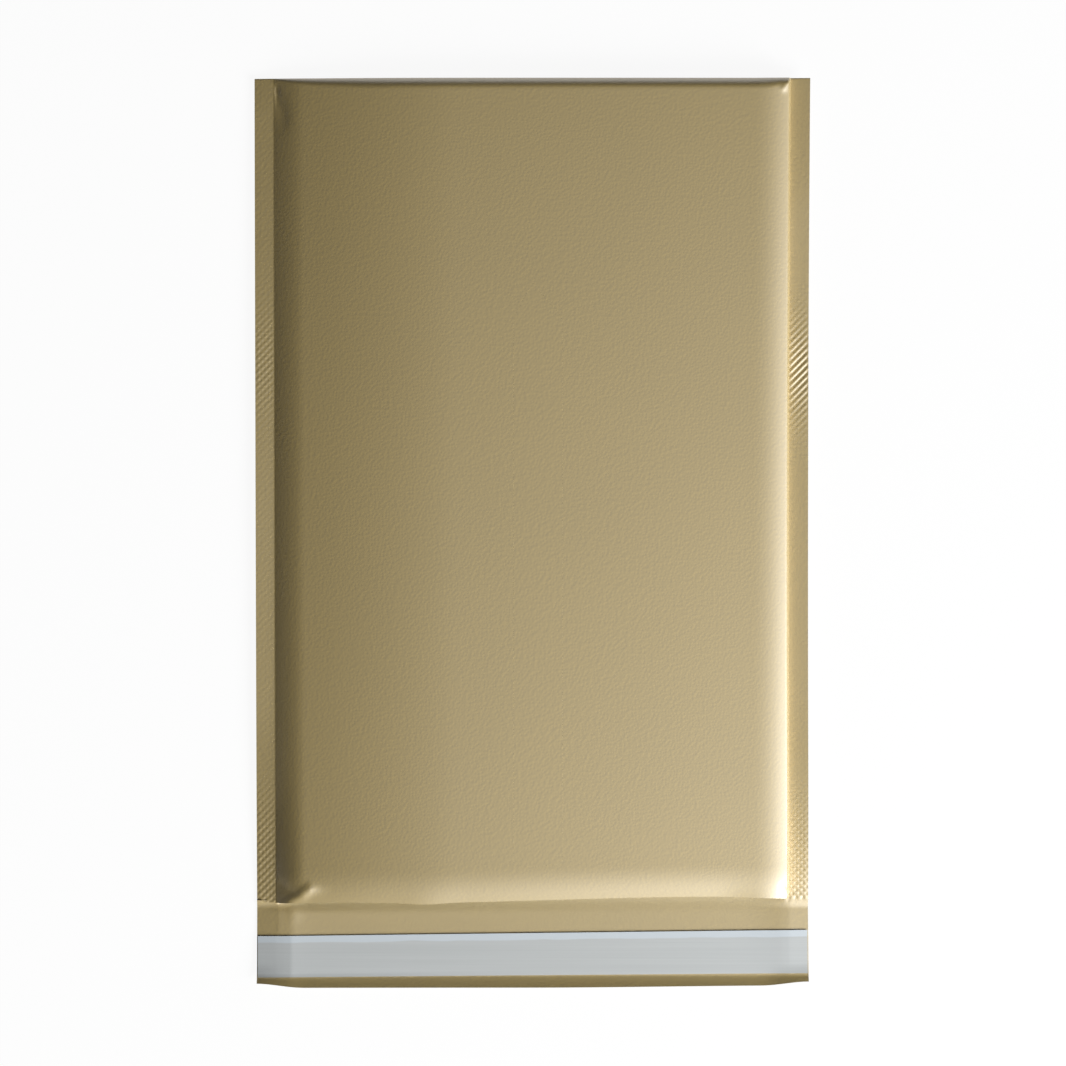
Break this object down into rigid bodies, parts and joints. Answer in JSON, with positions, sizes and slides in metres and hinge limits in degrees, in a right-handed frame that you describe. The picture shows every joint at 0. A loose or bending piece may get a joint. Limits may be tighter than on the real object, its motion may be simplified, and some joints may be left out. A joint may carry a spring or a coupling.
{
  "type": "padded envelope",
  "caption": "Empty padded envelope of gold metallized film with welded side seals, a bubble lining and a peel-and-seal flap.",
  "frame": {"origin": "centre of the bounding box, on the flat underside that the envelope lies on", "axes": "+X across the envelope, +Y from the mouth and flap to the folded bottom, +Z out of the front panel"},
  "size_m": [0.1848, 0.3024, 0.0108],
  "materials": {
    "gold_film": "satin metallized gold film with a fine grain",
    "bubble_film": "clear to milky bubble film",
    "adhesive": "tacky, clear to grey",
    "liner_film": "smooth translucent release film"
  },
  "bodies": {
    "root": {"outer_film": "gold_film", "bubble_lining": "bubble_film", "adhesive_strip": "adhesive", "release_liner": "liner_film"}
  },
  "joints": []
}
